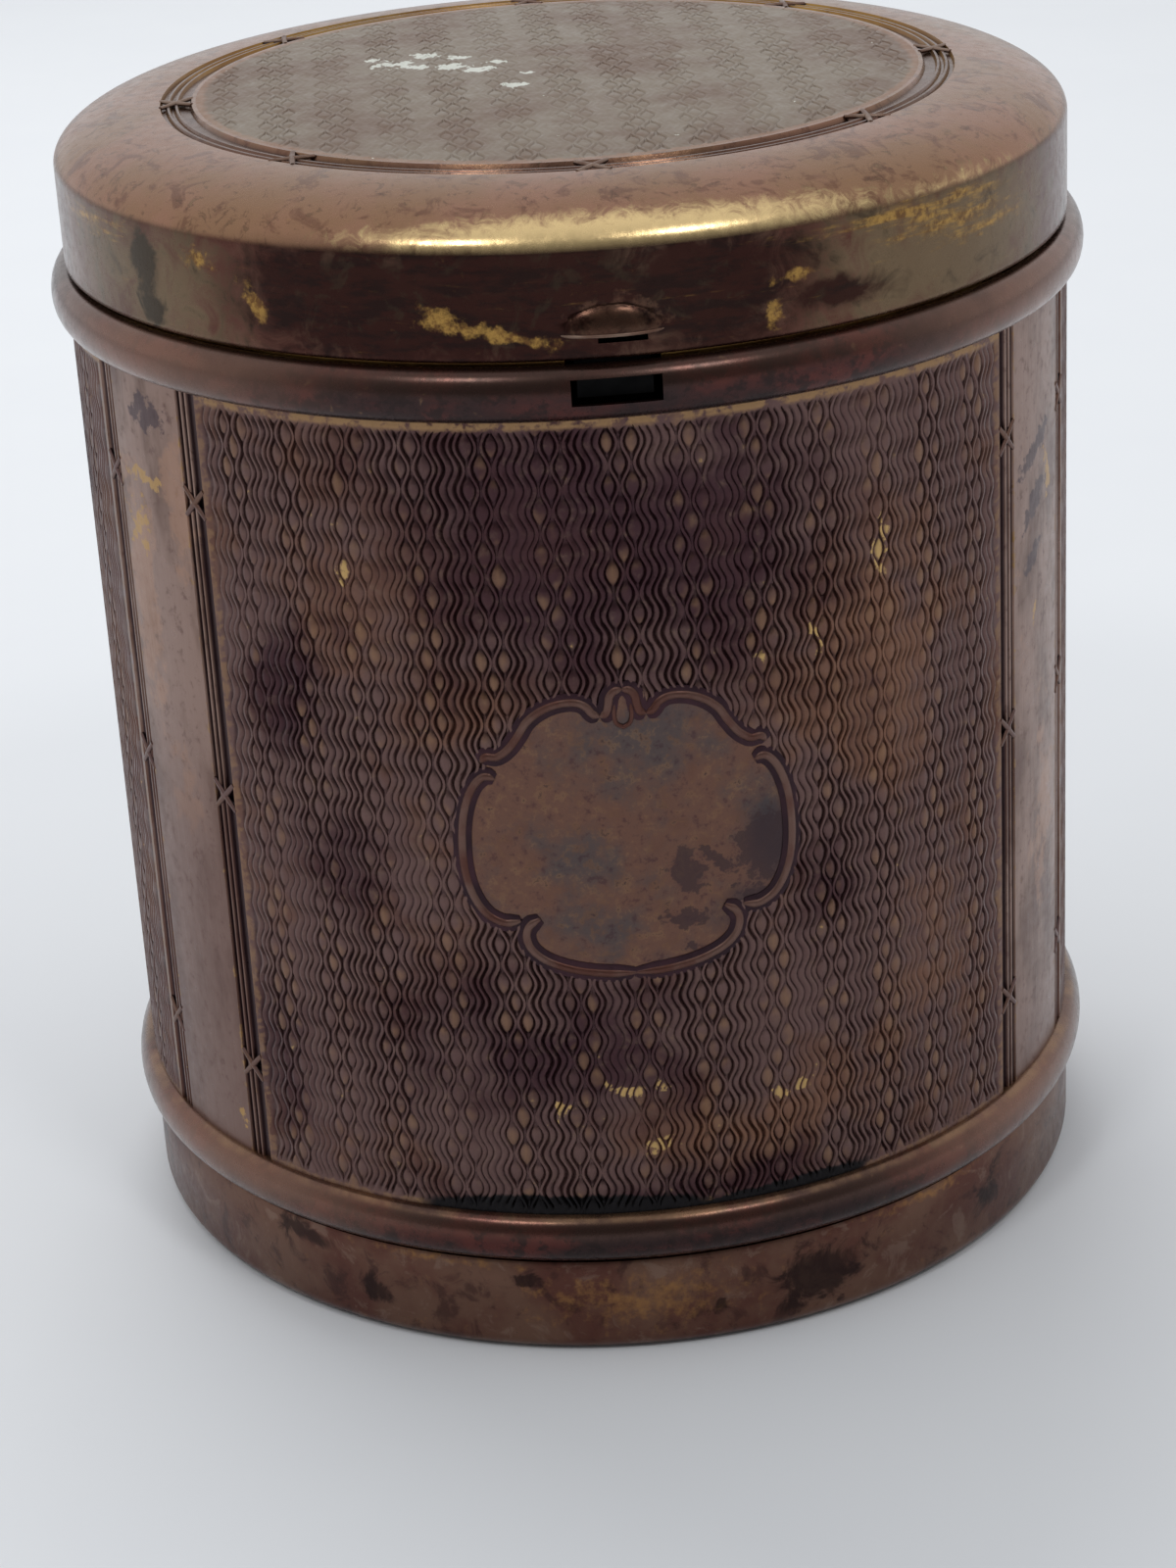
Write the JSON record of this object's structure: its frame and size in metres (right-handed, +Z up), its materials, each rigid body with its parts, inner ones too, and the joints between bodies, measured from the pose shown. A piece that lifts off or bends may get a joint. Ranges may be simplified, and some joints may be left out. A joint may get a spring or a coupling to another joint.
{
  "type": "round hinged cigarette tin",
  "caption": "Round metal tin with a beaded wall, pressed base, inner neck and domed hinged lid held by a spring catch behind a small window in the upper bead.",
  "frame": {"origin": "centre of the tin at the bottom, on the surface that it stands on", "axes": "+Z up along the tin's axis, the release window and louvre face -Y, the hinge is at +Y"},
  "size_m": [0.0702, 0.0706, 0.0796],
  "materials": {
    "patinated_sheet": "dark bronze patina worn to brass at the edges",
    "lid_sheet": "matte taupe-brown patina worn to brass at the shoulder",
    "plain_brass": "dull plain brass",
    "blued_spring": "blued spring steel"
  },
  "bodies": {
    "tin": {"body_wall": "patinated_sheet", "base_cup": "patinated_sheet", "neck_ring": "plain_brass", "hinge_body_leaf": "patinated_sheet", "hinge_pin": "plain_brass", "hinge_body_rivet_left": "plain_brass", "hinge_body_rivet_right": "plain_brass", "catch_rivet_left": "plain_brass", "catch_rivet_right": "plain_brass"},
    "lid": {"lid_shell": "lid_sheet", "hinge_lid_leaf": "lid_sheet", "hinge_lid_rivet_left": "plain_brass", "hinge_lid_rivet_right": "plain_brass"},
    "catch": {"catch_spring": "blued_spring"}
  },
  "joints": [
    {"name": "lid_hinge", "type": "hinge", "parent": "tin", "child": "lid", "pos_m": [0, 0.0346, 0.06925], "axis": [-1, 0, 0], "range_deg": [0, 105]},
    {"name": "catch_press", "type": "hinge", "parent": "tin", "child": "catch", "pos_m": [0, -0.0323, 0.06055], "axis": [-1, 0, 0], "range_deg": [0, 4.5], "stiffness_Nm_per_rad": 0.05}
  ]
}
